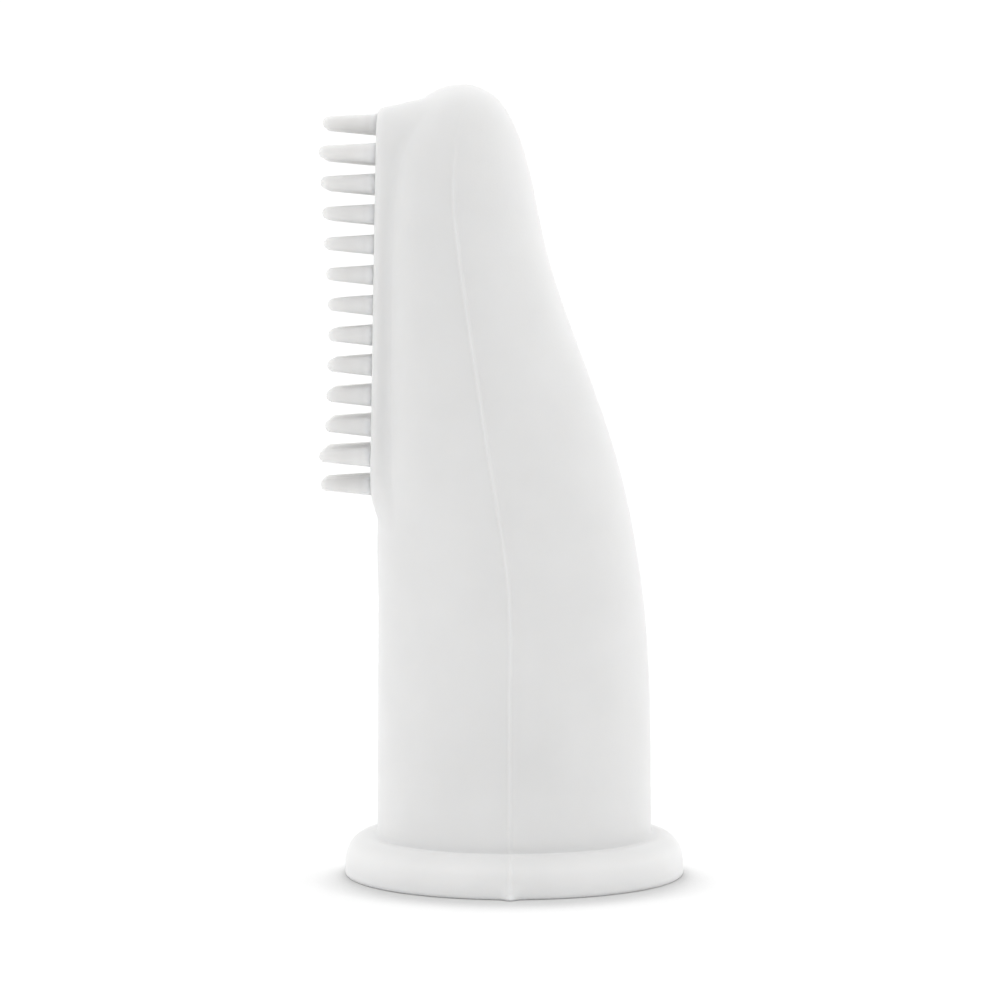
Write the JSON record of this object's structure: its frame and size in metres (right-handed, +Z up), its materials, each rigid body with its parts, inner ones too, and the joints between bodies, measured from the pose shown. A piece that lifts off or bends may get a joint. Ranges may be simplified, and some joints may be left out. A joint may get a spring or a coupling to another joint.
{
  "type": "finger toothbrush",
  "caption": "Silicone finger toothbrush for pets: a hollow thimble sleeve with a rolled mouth rim and a raised pad of soft tapered bristles in rows.",
  "frame": {"origin": "the middle of the mouth, on the surface that the brush stands on", "axes": "+Z up the finger from the mouth to the tip, -X out of the bristle pad, +Y across the finger"},
  "size_m": [0.0264, 0.0248, 0.058],
  "materials": {
    "sleeve_silicone": "white silicone, satin",
    "bristle_silicone": "white silicone, satin"
  },
  "bodies": {
    "sleeve": {"finger_sleeve": "sleeve_silicone", "mouth_rim": "sleeve_silicone", "bristle_pad": "sleeve_silicone"},
    "row_01": {"bristle_row_01": "bristle_silicone"},
    "row_02": {"bristle_row_02": "bristle_silicone"},
    "row_03": {"bristle_row_03": "bristle_silicone"},
    "row_04": {"bristle_row_04": "bristle_silicone"},
    "row_05": {"bristle_row_05": "bristle_silicone"},
    "row_06": {"bristle_row_06": "bristle_silicone"},
    "row_07": {"bristle_row_07": "bristle_silicone"},
    "row_08": {"bristle_row_08": "bristle_silicone"},
    "row_09": {"bristle_row_09": "bristle_silicone"},
    "row_10": {"bristle_row_10": "bristle_silicone"},
    "row_11": {"bristle_row_11": "bristle_silicone"},
    "row_12": {"bristle_row_12": "bristle_silicone"},
    "row_13": {"bristle_row_13": "bristle_silicone"}
  },
  "joints": [
    {"name": "row_01_bend", "type": "hinge", "parent": "sleeve", "child": "row_01", "pos_m": [-0.00993, 0, 0.05507], "axis": [0, 1, 0], "range_deg": [-18, 18], "stiffness_Nm_per_rad": 0.00046},
    {"name": "row_02_bend", "type": "hinge", "parent": "sleeve", "child": "row_02", "pos_m": [-0.00997, 0, 0.05288], "axis": [0, 1, 0], "range_deg": [-18, 18], "stiffness_Nm_per_rad": 0.00077},
    {"name": "row_03_bend", "type": "hinge", "parent": "sleeve", "child": "row_03", "pos_m": [-0.01001, 0, 0.05069], "axis": [0, 1, 0], "range_deg": [-18, 18], "stiffness_Nm_per_rad": 0.00077},
    {"name": "row_04_bend", "type": "hinge", "parent": "sleeve", "child": "row_04", "pos_m": [-0.01005, 0, 0.0485], "axis": [0, 1, 0], "range_deg": [-18, 18], "stiffness_Nm_per_rad": 0.00077},
    {"name": "row_05_bend", "type": "hinge", "parent": "sleeve", "child": "row_05", "pos_m": [-0.01009, 0, 0.04631], "axis": [0, 1, 0], "range_deg": [-18, 18], "stiffness_Nm_per_rad": 0.00077},
    {"name": "row_06_bend", "type": "hinge", "parent": "sleeve", "child": "row_06", "pos_m": [-0.01013, 0, 0.04412], "axis": [0, 1, 0], "range_deg": [-18, 18], "stiffness_Nm_per_rad": 0.00077},
    {"name": "row_07_bend", "type": "hinge", "parent": "sleeve", "child": "row_07", "pos_m": [-0.01018, 0, 0.04194], "axis": [0, 1, 0], "range_deg": [-18, 18], "stiffness_Nm_per_rad": 0.00077},
    {"name": "row_08_bend", "type": "hinge", "parent": "sleeve", "child": "row_08", "pos_m": [-0.01022, 0, 0.03975], "axis": [0, 1, 0], "range_deg": [-18, 18], "stiffness_Nm_per_rad": 0.00077},
    {"name": "row_09_bend", "type": "hinge", "parent": "sleeve", "child": "row_09", "pos_m": [-0.01026, 0, 0.03756], "axis": [0, 1, 0], "range_deg": [-18, 18], "stiffness_Nm_per_rad": 0.00077},
    {"name": "row_10_bend", "type": "hinge", "parent": "sleeve", "child": "row_10", "pos_m": [-0.0103, 0, 0.03537], "axis": [0, 1, 0], "range_deg": [-18, 18], "stiffness_Nm_per_rad": 0.00077},
    {"name": "row_11_bend", "type": "hinge", "parent": "sleeve", "child": "row_11", "pos_m": [-0.01034, 0, 0.03318], "axis": [0, 1, 0], "range_deg": [-18, 18], "stiffness_Nm_per_rad": 0.00077},
    {"name": "row_12_bend", "type": "hinge", "parent": "sleeve", "child": "row_12", "pos_m": [-0.01038, 0, 0.03099], "axis": [0, 1, 0], "range_deg": [-18, 18], "stiffness_Nm_per_rad": 0.00077},
    {"name": "row_13_bend", "type": "hinge", "parent": "sleeve", "child": "row_13", "pos_m": [-0.01042, 0, 0.0288], "axis": [0, 1, 0], "range_deg": [-18, 18], "stiffness_Nm_per_rad": 0.00046}
  ]
}
